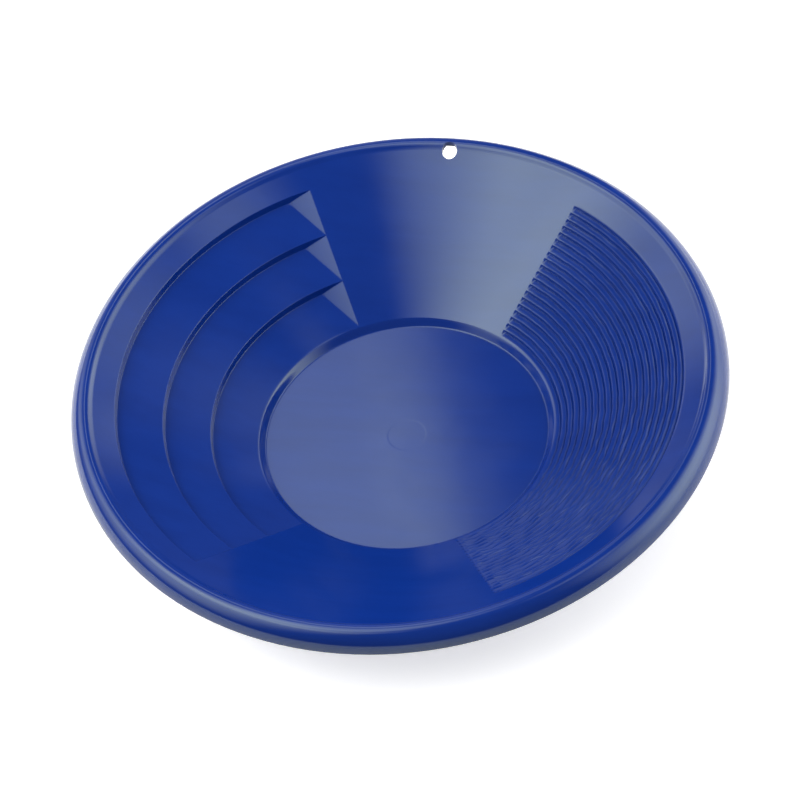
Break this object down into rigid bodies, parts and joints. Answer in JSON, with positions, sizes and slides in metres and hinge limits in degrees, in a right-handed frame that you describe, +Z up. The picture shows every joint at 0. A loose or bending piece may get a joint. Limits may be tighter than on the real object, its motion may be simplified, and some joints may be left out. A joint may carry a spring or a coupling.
{
  "type": "gold pan",
  "caption": "Round shallow gold pan, moulded in blue plastic, with coarse stepped riffles, fine riffles, a rolled rim and a hang hole.",
  "frame": {"origin": "centre of the underside of the floor, on the surface the pan rests on", "axes": "+Z up along the pan's axis; +Y towards the hang hole; +X towards the fine riffles, -X towards the coarse riffles"},
  "size_m": [0.3559, 0.3559, 0.0576],
  "materials": {
    "blue_plastic": "satin gloss injection-moulded polypropylene, through-coloured deep blue"
  },
  "bodies": {
    "root": {"pan_floor": "blue_plastic", "plain_wall_back": "blue_plastic", "plain_wall_front": "blue_plastic", "coarse_riffle_wall": "blue_plastic", "fine_riffle_wall": "blue_plastic", "rolled_rim": "blue_plastic"}
  },
  "joints": []
}
